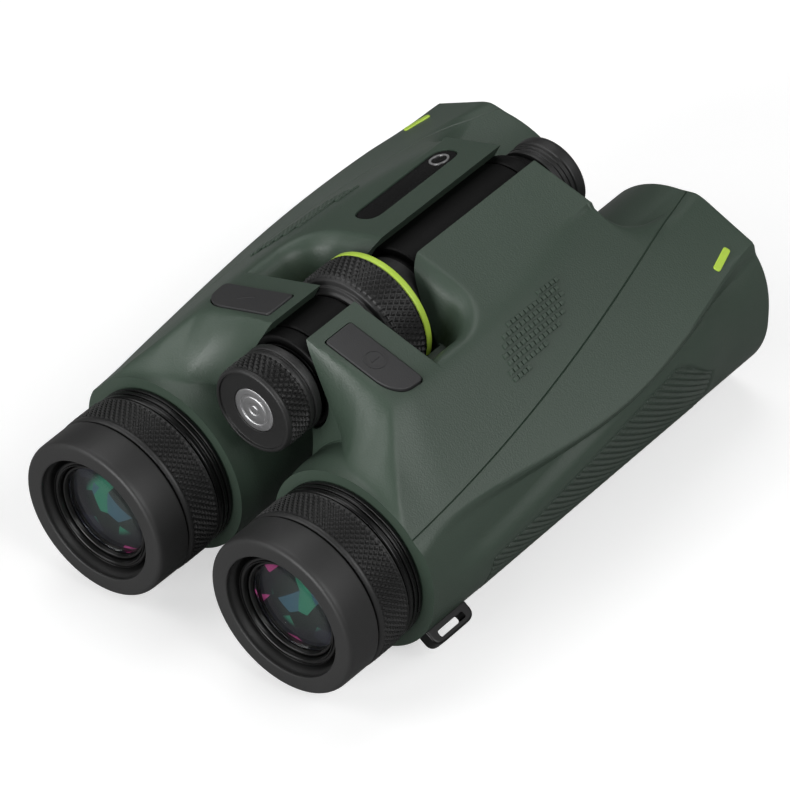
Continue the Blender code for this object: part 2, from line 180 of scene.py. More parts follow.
# %% The shared grain
def new_group():
    group = bpy.data.node_groups.new("Moulded grain", "ShaderNodeTree")
    for name, kind, default in (
        ("Colour", "NodeSocketColor", (0.1, 0.1, 0.1, 1)), ("Drift", "NodeSocketFloat", 0.1),
        ("Roughness", "NodeSocketFloat", 0.5), ("Grain scale", "NodeSocketFloat", 1500.0),
        ("Grain depth", "NodeSocketFloat", 0.1),
    ):
        group.interface.new_socket(name, in_out="INPUT", socket_type=kind).default_value = default
    results = (("Colour", "NodeSocketColor"), ("Roughness", "NodeSocketFloat"),
               ("Normal", "NodeSocketVector"))
    for name, kind in results:
        group.interface.new_socket(name, in_out="OUTPUT", socket_type=kind)
    add, link = group.nodes.new, group.links.new
    given, put = add("NodeGroupInput"), add("NodeGroupOutput")
    where = add("ShaderNodeTexCoord").outputs["Object"]

    slow = add("ShaderNodeTexNoise")
    slow.inputs["Scale"].default_value = 45
    slow.inputs["Detail"].default_value = 4
    link(where, slow.inputs["Vector"])
    shift = add("ShaderNodeMath")
    shift.operation = "SUBTRACT"
    link(slow.outputs["Fac"], shift.inputs[0])
    shift.inputs[1].default_value = 0.5
    amount = add("ShaderNodeMath")
    amount.operation = "MULTIPLY"
    link(shift.outputs[0], amount.inputs[0])
    link(given.outputs["Drift"], amount.inputs[1])
    factor = add("ShaderNodeMath")
    factor.operation = "ADD"
    link(amount.outputs[0], factor.inputs[0])
    factor.inputs[1].default_value = 1
    tint = add("ShaderNodeVectorMath")
    tint.operation = "SCALE"
    link(given.outputs["Colour"], tint.inputs[0])
    link(factor.outputs[0], tint.inputs["Scale"])
    link(tint.outputs[0], put.inputs["Colour"])

    wander = add("ShaderNodeMath")
    wander.operation = "MULTIPLY_ADD"
    link(shift.outputs[0], wander.inputs[0])
    wander.inputs[1].default_value = 0.14
    link(given.outputs["Roughness"], wander.inputs[2])
    link(wander.outputs[0], put.inputs["Roughness"])

    grain = add("ShaderNodeTexNoise")
    grain.inputs["Detail"].default_value = 3
    grain.inputs["Roughness"].default_value = 0.6
    link(where, grain.inputs["Vector"])
    link(given.outputs["Grain scale"], grain.inputs["Scale"])
    bump = add("ShaderNodeBump")
    bump.inputs["Distance"].default_value = 0.0004
    link(grain.outputs["Fac"], bump.inputs["Height"])
    link(given.outputs["Grain depth"], bump.inputs["Strength"])
    link(bump.outputs["Normal"], put.inputs["Normal"])
    return group


grain_group = new_group()


def moulded(name, colour, roughness, drift=0.12, scale=1500, depth=0.1, metallic=0.0, specular=0.5):
    """A Principled finish with the shared grain."""
    made = bpy.data.materials.new(name)
    made.use_nodes = True
    nodes, link = made.node_tree.nodes, made.node_tree.links.new
    shader = nodes["Principled BSDF"]
    shader.inputs["Metallic"].default_value = metallic
    shader.inputs["Specular IOR Level"].default_value = specular
    group = nodes.new("ShaderNodeGroup")
    group.node_tree = grain_group
    group.inputs["Colour"].default_value = (*colour, 1)
    group.inputs["Drift"].default_value = drift
    group.inputs["Roughness"].default_value = roughness
    group.inputs["Grain scale"].default_value = scale
    group.inputs["Grain depth"].default_value = depth
    link(group.outputs["Colour"], shader.inputs["Base Color"])
    link(group.outputs["Roughness"], shader.inputs["Roughness"])
    link(group.outputs["Normal"], shader.inputs["Normal"])
    return made


def glass(name, colour, ior=1.5):
    made = bpy.data.materials.new(name)
    made.use_nodes = True
    shader = made.node_tree.nodes["Principled BSDF"]
    shader.inputs["Base Color"].default_value = (*colour, 1)
    shader.inputs["Roughness"].default_value = 0.0
    shader.inputs["IOR"].default_value = ior
    shader.inputs["Transmission Weight"].default_value = 1.0
    return made


armour_green = moulded("armour green", (0.0437, 0.066, 0.0488), 0.42, drift=0.12, scale=2200, depth=0.22)
cup_black = moulded("eyecup rubber", (0.022, 0.022, 0.022), 0.48, drift=0.2, scale=3200, depth=0.12)
knurl_black = moulded("knurled rubber", (0.016, 0.016, 0.016), 0.45, drift=0.2, scale=2600, depth=0.15)
plastic_black = moulded("black plastic", (0.004, 0.004, 0.004), 0.27, drift=0.2, scale=2200,
                        depth=0.05, specular=0.35)
# A darker, less shiny copy of the black plastic for the hinge tube and its collars: the darker colour is
# painted shade for the tube down in the hinge slot.
shaded_tube_black = moulded("shaded tube black", (0.002, 0.002, 0.002), 0.5, drift=0.2, scale=2200,
                     depth=0.05, specular=0.15)
key_grey = moulded("key grey", (0.029, 0.029, 0.030), 0.5, drift=0.1, scale=3000, depth=0.16)
lime_plastic = moulded("lime plastic", (0.46, 0.66, 0.07), 0.42, drift=0.06, scale=1800, depth=0.05)
silver_metal = moulded("brushed silver", (0.72, 0.72, 0.73), 0.42, drift=0.2, scale=900,
                       depth=0.08, metallic=1)
dark_metal = moulded("black anodised", (0.02, 0.02, 0.022), 0.3, drift=0.15, scale=1600,
                     depth=0.06, metallic=0.6)
brass_metal = moulded("brass", (0.55, 0.40, 0.18), 0.3, drift=0.2, scale=900, depth=0.08, metallic=1)
board_green = moulded("circuit board", (0.02, 0.12, 0.05), 0.45, drift=0.3, scale=700, depth=0.1)
lens_black = moulded("lens black", (0.006, 0.006, 0.006), 0.3, drift=0.2, scale=1600, depth=0.05)
clear_glass = glass("coated glass", (0.96, 1.0, 0.98), 1.3)
print("finishes made")

# %% [markdown]
# A coated lens isn't simply clear. Down in the eyepiece one sees reflections of the prism's faces as dark
# green and teal polygons, and near the rim the coated surface's reflection turns magenta. These reflections
# are painted on a disc behind the glass. A Voronoi texture has flat polygons of that kind. Its random colour
# picks a tint for each, from near black, which is painted shade for the inside of the barrel, to green and
# teal. The disc also glows a little in that tint, a painted glow for daylight from the far end, though it is
# no lamp. The distance from the barrel's axis, which both barrels share when x is taken without its sign,
# turns them magenta towards the rim, a painted reflection too.


# %% The painted lens reflections
def new_painted_reflections(name, cell_size, rim):
    made = bpy.data.materials.new(name)
    made.use_nodes = True
    add, link = made.node_tree.nodes.new, made.node_tree.links.new
    shader = made.node_tree.nodes["Principled BSDF"]
    shader.inputs["Roughness"].default_value = 0.3
    shader.inputs["Specular IOR Level"].default_value = 0.1
    # Emission makes a painted glow: the disc lights itself in its painted reflection colours.
    shader.inputs["Emission Strength"].default_value = 0.8

    def math_node(operation, first, second):
        node = add("ShaderNodeMath")
        node.operation = operation
        for socket, value in zip(node.inputs, (first, second)):
            if isinstance(value, float):
                socket.default_value = value
            else:
                link(value, socket)
        return node.outputs[0]

    where = add("ShaderNodeTexCoord").outputs["Object"]
    split = add("ShaderNodeSeparateXYZ")
    link(where, split.inputs[0])
    across = math_node("SUBTRACT", math_node("ABSOLUTE", split.outputs[0], 0.0), BARREL_X * MM)
    above = math_node("SUBTRACT", split.outputs[2], FOOT * MM)
    reach = math_node("SQRT", math_node("ADD", math_node("MULTIPLY", across, across),
                                        math_node("MULTIPLY", above, above)), 0.0)
    flat = add("ShaderNodeCombineXYZ")
    link(across, flat.inputs[0])
    link(above, flat.inputs[1])
    facets = add("ShaderNodeTexVoronoi")
    facets.inputs["Scale"].default_value = 1 / (cell_size * MM)
    facets.inputs["Randomness"].default_value = 0.8
    link(flat.outputs[0], facets.inputs["Vector"])
    tone = add("ShaderNodeSeparateColor")
    link(facets.outputs["Color"], tone.inputs[0])

    def ramp(stops):
        node = add("ShaderNodeValToRGB")
        node.color_ramp.interpolation = "CONSTANT"
        steps = node.color_ramp.elements
        while len(steps) < len(stops):
            steps.new(0.5)
        for step, (place, colour) in zip(steps, stops):
            step.position = place
            step.color = (*colour, 1)
        link(tone.outputs[0], node.inputs[0])
        return node.outputs[0]

    # Painted reflections and shade: near-black cells and green and teal reflected prism faces in the middle,
    # a magenta reflection off the coated glass at the rim.
    middle = ramp(((0, (0.003, 0.005, 0.005)), (0.35, (0.010, 0.080, 0.050)), (0.55, (0.018, 0.045, 0.065)),
                   (0.75, (0.015, 0.120, 0.075))))
    edge = ramp(((0, (0.003, 0.003, 0.005)), (0.5, (0.160, 0.020, 0.080)), (0.75, (0.008, 0.008, 0.014))))
    share = add("ShaderNodeMapRange")
    share.inputs["From Min"].default_value = rim * 0.52 * MM
    share.inputs["From Max"].default_value = rim * 0.66 * MM
    link(reach, share.inputs["Value"])
    mixed = add("ShaderNodeMix")
    mixed.data_type = "RGBA"
    colour_in = [socket for socket in mixed.inputs if socket.type == "RGBA"]
    link(share.outputs[0], mixed.inputs[0])
    link(middle, colour_in[0])
    link(edge, colour_in[1])
    tinted = next(socket for socket in mixed.outputs if socket.type == "RGBA")
    link(tinted, shader.inputs["Base Color"])
    link(tinted, shader.inputs["Emission Color"])
    return made


painted_reflections = new_painted_reflections("eyepiece painted reflections", 6.5, 12.0)
bell_painted_reflections = new_painted_reflections("bell painted reflections", 12.0, 21.5)

# %% [markdown]
# ## Armour
# Each barrel wears one rubber moulding. It isn't round: a flat roof runs from the hinge slot outwards, a flat
# flank falls from it, a concave channel follows, and a ridge stands over the ribbed grip. Behind the roof the
# armour dips to a neck, and in front it opens into the bell.
# Subdivision modelling could follow this, but its flats and creases change angle all the way along, so it is
# easier to say how far the surface stands from the barrel's axis in each direction and at each station.
# A grid is added with one column for each direction and one row for each station, and its points are set to
# that distance. The columns follow the creases, so the mesh has an edge where the moulding has one.

# %% How far the armour stands from its barrel's axis
TUBE_R = 25.2
NECK_R = 24.6
ROOF_ANGLE = 73.5
ROOF_D = 36.3
SLOT_X = 5.3
BRIDGE_FRONT = 131.3
FLANK = (
    (27.0, 40.0, 25.0, 34.0),
    (55.0, 44.0, 27.3, 34.0),
    (90.0, 48.5, 29.1, 27.0),
    (115.0, 53.0, 29.2, 30.0),
    (130.0, 57.0, 28.9, 35.0),
    (160.7, 65.0, 27.9, 46.0),
)
RIDGE = ((27.0, 2.0), (55.0, 5.0), (90.0, 15.5), (128.0, 26.0), (160.7, 30.0))
RIDGE_R = 27.2
SEAM_REAR, SEAM_FRONT = 38.0, 90.0
SEAM_STEADY = 0.52
BELL_CORNER = 29.6
# angle, stations where the rise from the neck to the roof starts and ends
NECK_RISE = ((38, 25.0, 26.5), (45, 25.5, 26.9), (60, 26.8, 30.5), (79, 27.8, 38.5), (90, 28.5, 45),
             (100, 31, 45.5), (110, 35.5, 44.5), (118, 39, 43.2))


def curve(rows, column, degree):
    """A smooth curve through a table's column, against its first column."""
    first = [row[0] for row in rows]
    return np.poly1d(np.polyfit(first, [row[column] for row in rows], degree))


flank_angle = curve(FLANK, 1, 3)
flank_distance = curve(FLANK, 2, 3)
crease_angle = curve(FLANK, 3, 4)
ridge_angle = curve(RIDGE, 1, 3)


def seam_angle(station):
    """The seam climbs from beside the eyepiece to the top of the bell, ever more steeply."""
    share = (station - 27) / (LENGTH - 27)
    climb = SEAM_STEADY * share + (1 - SEAM_STEADY) * share**2
    return SEAM_REAR + (SEAM_FRONT - SEAM_REAR) * climb


def blend(low, high, value):
    share = np.clip((value - low) / (high - low), 0, 1)
    return share * share * (3 - 2 * share)


def soft_min(a, b, width):
    """The smaller of two distances, with the crease between them rounded."""
    return -width * np.logaddexp(-a / width, -b / width)


def cosine(angle):
    return np.cos(np.radians(angle))


def sine(angle):
    return np.sin(np.radians(angle))


def side_radius(angle, station):
    """The grip side, from the underside up to the foot of the flank."""
    ridge = ridge_angle(station)
    swell = blend(-40, ridge, angle) * (1 - 0.95 * blend(ridge, ridge + 12, angle))
    rear_fade = blend(30, 50, station) * (1 - blend(132, 150, station))
    return TUBE_R + (RIDGE_R - TUBE_R) * swell * rear_fade + 0.6 * blend(-10, 25, angle)


def scoop_inside(x, station):
    """Distance inside the outline of the finger hollow, seen from above."""
    reach, front, corner = 30.3, 84.6, 13.0
    across = x - (reach - corner)
    ahead = station - (front - corner)
    outside = np.hypot(np.maximum(across, 0), np.maximum(ahead, 0))
    return corner - outside - np.minimum(np.maximum(across, ahead), 0)


def top_height(x, station):
    """Height of the roof, with the finger hollow sunk in it, above the barrel's axis. x is from the hinge."""
    roof = (ROOF_D - (x - BARREL_X) * cosine(ROOF_ANGLE)) / sine(ROOF_ANGLE)
    inside = scoop_inside(x, station)
    chamfer = 0.7 * np.logaddexp(0, inside / 0.35) * 0.35
    wall = 2.6 * np.logaddexp(0, (inside - 3.6) / 0.5) * 0.5
    floor = BARREL_DROP - 3.0
    sunk = np.maximum(roof - chamfer - wall, floor)
    return roof + (sunk - roof) * blend(61.2, 61.7, station)


def hinge_limit(angle, station):
    """Distance to the round space kept for the hinge tube and the focus wheel."""
    far = math.hypot(BARREL_X, BARREL_DROP)
    towards = 180 - math.degrees(math.atan2(BARREL_DROP, BARREL_X))
    kept = 13.2 + 5.1 * blend(61.2, 61.6, station) * (1 - blend(76.6, 78.6, station))
    offset = far * sine(angle - towards)
    hit = far * cosine(angle - towards) - np.sqrt(np.maximum(kept**2 - offset**2, 0))
    reached = (np.abs(offset) < kept) & (cosine(angle - towards) > 0)
    reached &= (angle > 118.65) | (kept > 13.4)
    return np.where(reached, hit, 99.0)


def roof_radius(angle, station):
    """Where a ray from the barrel's axis leaves the roof or the hollow: the first step that is above it."""
    reaches = np.linspace(14, 62, 160)
    found = np.full(angle.shape, 62.0)
    for near, far in zip(reaches[-2::-1], reaches[:0:-1]):
        over_near = near * sine(angle) - top_height(BARREL_X + near * cosine(angle), station)
        over_far = far * sine(angle) - top_height(BARREL_X + far * cosine(angle), station)
        crossing = (over_near < 0) & (over_far >= 0)
        share = over_near / np.where(crossing, over_near - over_far, 1.0)
        found = np.where(crossing, near + share * (far - near), found)
    return found


def armour_radius(angle, station):
    edge = crease_angle(station)
    lower = np.where(angle < 90, side_radius(angle, station), TUBE_R)
    straight = flank_distance(station) / np.maximum(0.2, cosine(angle - flank_angle(station)))
    flank = np.where(angle > ROOF_ANGLE + 26, 99.0, straight)
    width = 1.1 - 0.3 * blend(60, 100, station) + 3.5 * (1 - blend(34, 50, station))
    upper = soft_min(flank, roof_radius(angle, station), width)
    slot = (BARREL_X - SLOT_X) / np.maximum(0.05, -cosine(angle))
    upper = np.where(angle > 95, np.minimum(upper, slot), upper)
    full = lower + (upper - lower) * blend(edge - 7, edge, angle)
    full = TUBE_R + (full - TUBE_R) * np.where(angle > 160, 1 - blend(160, 172, angle), 1.0)

    start = np.interp(angle, [r[0] for r in NECK_RISE], [r[1] for r in NECK_RISE])
    end = np.interp(angle, [r[0] for r in NECK_RISE], [r[2] for r in NECK_RISE])
    neck = NECK_R + (TUBE_R - NECK_R) * blend(27, 34, station)
    radius = neck + (full - neck) * blend(start, end, station)

    bell = TUBE_R + 2.8 * blend(-5, 43, angle) * (1 - blend(145, 176, angle))
    flat_side = np.minimum(straight, BELL_CORNER)
    bell = bell + (flat_side - bell) * blend(edge - 7, edge, angle) * (1 - blend(76, 96, angle))
    ramp = 1 - blend(60, 98, angle)
    front_start = BRIDGE_FRONT - 0.6 + 4.0 * ramp
    front_end = np.where(angle < 98, BRIDGE_FRONT + 26.0 - 24 * blend(80, 98, angle), BRIDGE_FRONT + 1.2)
    radius = radius + (bell - radius) * blend(front_start, front_end, station)
    return np.minimum(radius, hinge_limit(angle, station))


slot_edge = float(top_height(np.array(SLOT_X), np.array(100.0))) - BARREL_DROP
print("roof height over the hinge", round(slot_edge, 2))

# %% [markdown]
# The grid's columns run between lines that follow the moulding: the grip's edges, the crease, the seam and
# the slot wall. Its rows crowd together where the surface turns quickly: at the neck, round the focus wheel
# and in front of the bridge.

# %% Columns and rows of the armour
GRIP_REAR, GRIP_FRONT = 47.0, 136.0
GRIP_LOW = -58.0
GRIP_DEPTH = 0.55


def grip_edge(station):
    """Upper edge of the ribbed panel, rounded off at its front end."""
    return ridge_angle(station) - 4.5 - 26 * blend(121, 138, station)


def grip_border(angle, station):
    """Distance inside the panel's outline, in millimetres, and less than nothing outside it."""
    per_degree = math.tau * RIDGE_R / 360
    return np.minimum.reduce([(grip_edge(station) - angle) * per_degree, (angle - GRIP_LOW) * per_degree,
                              station - GRIP_REAR, GRIP_FRONT - station])


def spread(stops, counts):
    """Evenly spaced values between neighbouring stops. Stops may be numbers or arrays."""
    values = []
    for (low, high), count in zip(zip(stops, stops[1:]), counts):
        values += [low + (high - low) * k / count for k in range(count)]
    return values + [stops[-1]]


stations = np.array(spread(
    (27, 46, 60.8, 62, 76, 88, 128.5, 134, 159.9, LENGTH),
    (40, 20, 8, 36, 34, 34, 22, 34, 5),
))
clipped = np.clip(stations, GRIP_REAR, GRIP_FRONT)
flat = np.ones_like(stations)
seam = seam_angle(stations)
columns = np.array(spread(
    (-90 * flat, GRIP_LOW * flat, grip_edge(clipped) - 4, grip_edge(clipped) + 1, crease_angle(stations),
     seam - 0.55, seam, seam + 0.55, 104 * flat, 118.6 * flat, 120.3 * flat, 150 * flat, 270 * flat),
    (12, 16, 8, 26, 24, 1, 1, 40, 26, 3, 28, 44),
)[:-1])
print("armour grid", columns.shape)


def armour_points(side):
    """The outer surface, in metres, as rows of stations and columns of directions."""
    angle = columns.T
    station = np.repeat(stations[:, None], angle.shape[1], axis=1)
    radius = armour_radius(angle, station)
    radius -= 0.4 * (np.abs(angle - seam[:, None]) < 0.01) * (station < LENGTH - 0.6)
    radius -= GRIP_DEPTH * blend(-0.3, 1.5, grip_border(angle, station))
    radius -= 0.8 * (1 - np.sqrt(1 - blend(LENGTH - 0.8, LENGTH, station) * 0.98))
    x = side * (BARREL_X + radius * cosine(angle))
    z = np.maximum(FOOT + radius * sine(angle), 0)
    return np.stack([x * MM, REAR + station * MM, z * MM], axis=-1)


def model_armour(hand):
    side = SIDES[hand]
    outer = armour_points(side)
    rows, around = outer.shape[:2]
    deselect()
    bpy.ops.mesh.primitive_grid_add(x_subdivisions=around, y_subdivisions=rows - 1)
    piece = bpy.context.object
    piece.name = hand + "_armour"
    wrapped = np.concatenate([outer, outer[:, :1]], axis=1)
    piece.data.vertices.foreach_set("co", wrapped.reshape(-1))
    edit_all(piece)
    bpy.ops.mesh.remove_doubles(threshold=1e-7)
    # The bell's mouth and the rear hole: each open edge is drawn in to a circle, then into the barrel.
    for station, radius, inward in ((stations[-1], 22.3, -11.5), (stations[0], 18.2, 8.0)):
        draw_edge_in(piece, side, station, radius, inward)
    heal(piece, 24)
    return piece


def draw_edge_in(piece, side, station, radius, inward):
    """Extrudes the open edge at a station onto a circle, and that circle along the barrel, and closes it."""
    bpy.ops.object.mode_set(mode="OBJECT")
    place = REAR + station * MM
    centre = Vector((side * BARREL_X * MM, 0, FOOT * MM))
    for edge_shift in (0.0, inward * MM):
        bpy.ops.object.mode_set(mode="EDIT")
        if edge_shift == 0.0:
            bpy.ops.mesh.select_all(action="DESELECT")
            bpy.ops.object.mode_set(mode="OBJECT")
            for vertex in piece.data.vertices:
                vertex.select = abs(vertex.co.y - place) < 1e-7
            bpy.ops.object.mode_set(mode="EDIT")
        bpy.ops.mesh.extrude_region_move(TRANSFORM_OT_translate={"value": (0, edge_shift, 0)})
        bpy.ops.object.mode_set(mode="OBJECT")
        for vertex in piece.data.vertices:
            if vertex.select and edge_shift == 0.0:
                away = vertex.co - centre
                away.y = 0
                vertex.co = centre + away.normalized() * radius * MM
                vertex.co.y = place
    bpy.ops.object.mode_set(mode="EDIT")
    bpy.ops.mesh.edge_face_add()


armour = {hand: model_armour(hand) for hand in SIDES}
for hand, piece in armour.items():
    print(piece.name, len(piece.data.polygons), "faces")

# %% [markdown]
# The keys and the badge lie in shallow seats in the roof. A seat has a crisp outline that doesn't follow the
# grid, so it is cut with a Boolean, by a plate the shape of the key and a little larger all round.

# %% Seats in the roof
BUTTON_STATION, BUTTON_WIDTH = 50.5, 9.4
BUTTON_INNER, BUTTON_OUTER = 8.9, 31.5
STRETCH = 1 / sine(ROOF_ANGLE)


def roof_frame(side):
    """Turns a plate from flat to the roof's slope, with its own x running outwards from the hinge plane."""
    over_hinge = ROOF_D / sine(ROOF_ANGLE) + BARREL_X * cosine(ROOF_ANGLE) / sine(ROOF_ANGLE)
    lift = Matrix.Translation((0, 0, (FOOT + over_hinge) * MM))
    return lift @ Matrix.Rotation(math.radians(90 - ROOF_ANGLE) * side, 4, "Y")


def plate(name, outline, low, high, placing, bevel=0.0):
    """A flat plate from an outline in millimetres, put in place by a matrix, with its top edge rounded."""
    deselect()
    bpy.ops.mesh.primitive_circle_add(vertices=len(outline), fill_type="NGON")
    piece = bpy.context.object
    piece.name = name
    for vertex, (x, y) in zip(piece.data.vertices, outline):
        vertex.co = (x * MM, y * MM, low * MM)
    edit_all(piece)
    bpy.ops.mesh.extrude_region_move(TRANSFORM_OT_translate={"value": (0, 0, (high - low) * MM)})
    if bevel:
        bpy.ops.mesh.bevel(offset=bevel * MM, segments=4, profile=0.6)
    bpy.ops.object.mode_set(mode="OBJECT")
    piece.data.transform(placing)
    heal(piece, 35)
    return piece


def key_outline(side, grow):
    """Square towards the hinge, narrower and rounded at its outer end."""
    half = BUTTON_WIDTH / 2 + grow
    middle = BUTTON_STATION + REAR / MM
    inner = BUTTON_INNER * STRETCH - grow
    outer = BUTTON_OUTER * STRETCH + grow
    corners = [(inner, middle - half, 1.0), (outer - 5.0, middle - half, 3.0),
               (outer - 0.6, middle - half * 0.4, 2.5), (outer, middle + half, 1.8),
               (inner, middle + half, 1.0)]
    return [(side * x, y) for x, y in soften(corners, 6)]


def badge_outline(grow):
    half, middle = 3.9 + grow, -18.2
    rear, front = 90.8 + REAR / MM - grow, 125.6 + REAR / MM + grow
    corners = [(middle - half, rear, half), (middle + half, rear, half), (middle + half, front, half),
               (middle - half, front, half)]
    return soften(corners, 10)


def cut(piece, cutter):
    take(piece)
    modifier = piece.modifiers.new("Seat", "BOOLEAN")
    modifier.operation = "DIFFERENCE"
    modifier.solver = "EXACT"
    modifier.object = cutter
    bpy.ops.object.modifier_apply(modifier=modifier.name)
    bpy.data.objects.remove(cutter)


for hand, side in SIDES.items():
    cut(armour[hand], plate("seat cutter", key_outline(side, 0.3), -2.5, 4, roof_frame(side)))
cut(armour["left"], plate("badge cutter", badge_outline(0.15), -0.9, 4, roof_frame(-1)))
for hand, piece in armour.items():
    take(piece)
    bpy.ops.object.shade_smooth_by_angle(angle=math.radians(24))
    finish(piece, hand + "_half", armour_green, "armour", hand + "_body")
    print(piece.name, len(piece.data.polygons), "faces after its seats")

# %% [markdown]
# ## Ribbed grips
# Low diagonal ribs cover the outer side of each barrel, and each rib is notched into fine teeth. The ribs are
# drawn as a wave across a fine grid that follows the armour, so that they are real relief and show along the
# outline too. The teeth are only half a millimetre long, so they are left to a bump. It needs to know the way
# along each rib, which the panel's own UV map says.

# %% The toothed green
RIB_PITCH, RIB_HEIGHT = 1.66, 0.62
RIB_SLOPE = math.radians(35)
TOOTH_PITCH = 0.62

rib_green = moulded("ribbed green", (0.044, 0.066, 0.049), 0.46, drift=0.12, scale=2600, depth=0.3)
rib_nodes, rib_link = rib_green.node_tree.nodes, rib_green.node_tree.links.new
teeth = rib_nodes.new("ShaderNodeTexWave")
teeth.bands_direction = "X"
teeth.inputs["Scale"].default_value = math.tau / 20 / TOOTH_PITCH
teeth.inputs["Distortion"].default_value = 0.0
rib_link(rib_nodes.new("ShaderNodeTexCoord").outputs["UV"], teeth.inputs["Vector"])
tooth_bump = rib_nodes.new("ShaderNodeBump")
tooth_bump.inputs["Distance"].default_value = 0.0003
tooth_bump.inputs["Strength"].default_value = 0.8
rib_link(teeth.outputs["Fac"], tooth_bump.inputs["Height"])
rib_shader = rib_nodes["Principled BSDF"]
rib_link(rib_shader.inputs["Normal"].links[0].from_socket, tooth_bump.inputs["Normal"])
rib_link(tooth_bump.outputs["Normal"], rib_shader.inputs["Normal"])


# %% Ribbed grips
def model_grip(hand):
    side = SIDES[hand]
    rows, around = 420, 100
    station = np.linspace(GRIP_REAR - 0.2, GRIP_FRONT + 0.2, rows)[:, None]
    share = np.linspace(0, 1, around)[None, :]
    low, high = GRIP_LOW - 0.5, grip_edge(station) + 0.4
    angle = low + (high - low) * share
    station = station + 0 * angle
    nominal = side_radius(angle, station)
    down = -np.radians(angle) * RIDGE_R
    across = station * math.sin(RIB_SLOPE) - down * math.cos(RIB_SLOPE)
    along = station * math.cos(RIB_SLOPE) + down * math.sin(RIB_SLOPE)
    crest = 0.5 + 0.5 * np.cos(math.tau * across / RIB_PITCH)
    rise = blend(0.0, 1.4, grip_border(angle, station))
    radius = nominal - 0.75 + (0.25 + RIB_HEIGHT * crest ** 0.8) * rise
    deselect()
    bpy.ops.mesh.primitive_grid_add(x_subdivisions=around - 1, y_subdivisions=rows - 1)
    piece = bpy.context.object
    piece.name = hand + "_grip_ribs"
    x = side * (BARREL_X + radius * cosine(angle))
    z = FOOT + radius * sine(angle)
    points = np.stack([x * MM, REAR + station * MM, z * MM], axis=-1)
    piece.data.vertices.foreach_set("co", points.reshape(-1))
    ways = np.stack([along.reshape(-1), across.reshape(-1)], axis=-1)
    corners = np.empty(len(piece.data.loops), dtype=np.int32)
    piece.data.loops.foreach_get("vertex_index", corners)
    piece.data.uv_layers[0].uv.foreach_set("vector", ways[corners].reshape(-1))
    edit_all(piece)
    bpy.ops.mesh.normals_make_consistent(inside=False)
    bpy.ops.object.mode_set(mode="OBJECT")
    middle = piece.data.polygons[len(piece.data.polygons) // 2]
    if middle.normal.x * side < 0:
        edit_all(piece)
        bpy.ops.mesh.flip_normals()
        bpy.ops.object.mode_set(mode="OBJECT")
    wall = piece.modifiers.new("Wall", "SOLIDIFY")
    wall.thickness = 0.5 * MM
    wall.offset = -1
    apply_all(piece)
    bpy.ops.object.shade_smooth_by_angle(angle=math.radians(50))
    finish(piece, hand + "_half", rib_green, "grip", hand + "_grip_panel")
    print(piece.name, len(piece.data.polygons), "faces")


for hand in SIDES:
    model_grip(hand)

# %% [markdown]
# ## Knurling
# The turned grips are covered in small diamond studs, each row shifted by half a stud. One stud is modelled
# as a four-sided cone with its tip cut off. An Array modifier copies it round the ring and another copies
# that row along it, so every stud is real and only a dozen triangles.


# %% Knurling
def knurl(name, line, radius, rear, front, rows, count, height):
    """Rows of diamond studs on a ring. height is how far they stand out; radius is at their tips."""
    pitch_along = (front - rear) / rows
    pitch_round = math.tau * radius / count
    deselect()
    bpy.ops.mesh.primitive_cone_add(vertices=4, radius1=1, radius2=0.26, depth=1)
    piece = bpy.context.object
    piece.name = name
    sunk = height + 0.15
    for vertex in piece.data.vertices:
        x, y, z = vertex.co
        vertex.co = (
            line.x + x * pitch_round * 0.53 * MM,
            REAR + (rear + pitch_along / 2) * MM + y * pitch_along * 0.98 * MM,
            line.z + (radius - sunk + (z + 0.5) * sunk) * MM,
        )
    to_line, from_line = Matrix.Translation(line), Matrix.Translation(-line)
    turn_step = to_line @ Matrix.Rotation(math.tau / count, 4, "Y") @ from_line
    half_turn = to_line @ Matrix.Rotation(math.pi / count, 4, "Y") @ from_line
    row_step = Matrix.Translation((0, pitch_along * MM, 0)) @ half_turn
    guides = []
    for step, copies in ((turn_step, count), (row_step, rows)):
        guide = bpy.data.objects.new("guide", None)
        bpy.context.scene.collection.objects.link(guide)
        guide.matrix_world = step
        guides.append(guide)
        array = piece.modifiers.new("Copies", "ARRAY")
        array.use_relative_offset = False
        array.use_object_offset = True
        array.offset_object = guide
        array.count = copies
    bpy.context.view_layer.update()
    apply_all(piece)
    for guide in guides:
        bpy.data.objects.remove(guide)
    print(name, rows * count, "studs")
    return piece


# %% [markdown]
# ## Eyepieces
# From the eye forwards: a smooth rubber eyecup, the knurled dioptre ring, and a grooved ring on the body.
# Inside the cup are the stepped black barrel and the eye lens.

# %% Eyepieces
def dome(reach, sphere, rim, towards, steps=12):
    """Half the section of a lens face, from its middle to its rim. towards is -1 if it bulges rearwards."""
    angles = np.linspace(0, math.asin(reach / sphere), steps)
    edge = math.cos(angles[-1])
    return [(sphere * math.sin(a), rim + towards * sphere * (math.cos(a) - edge), 0) for a in angles]


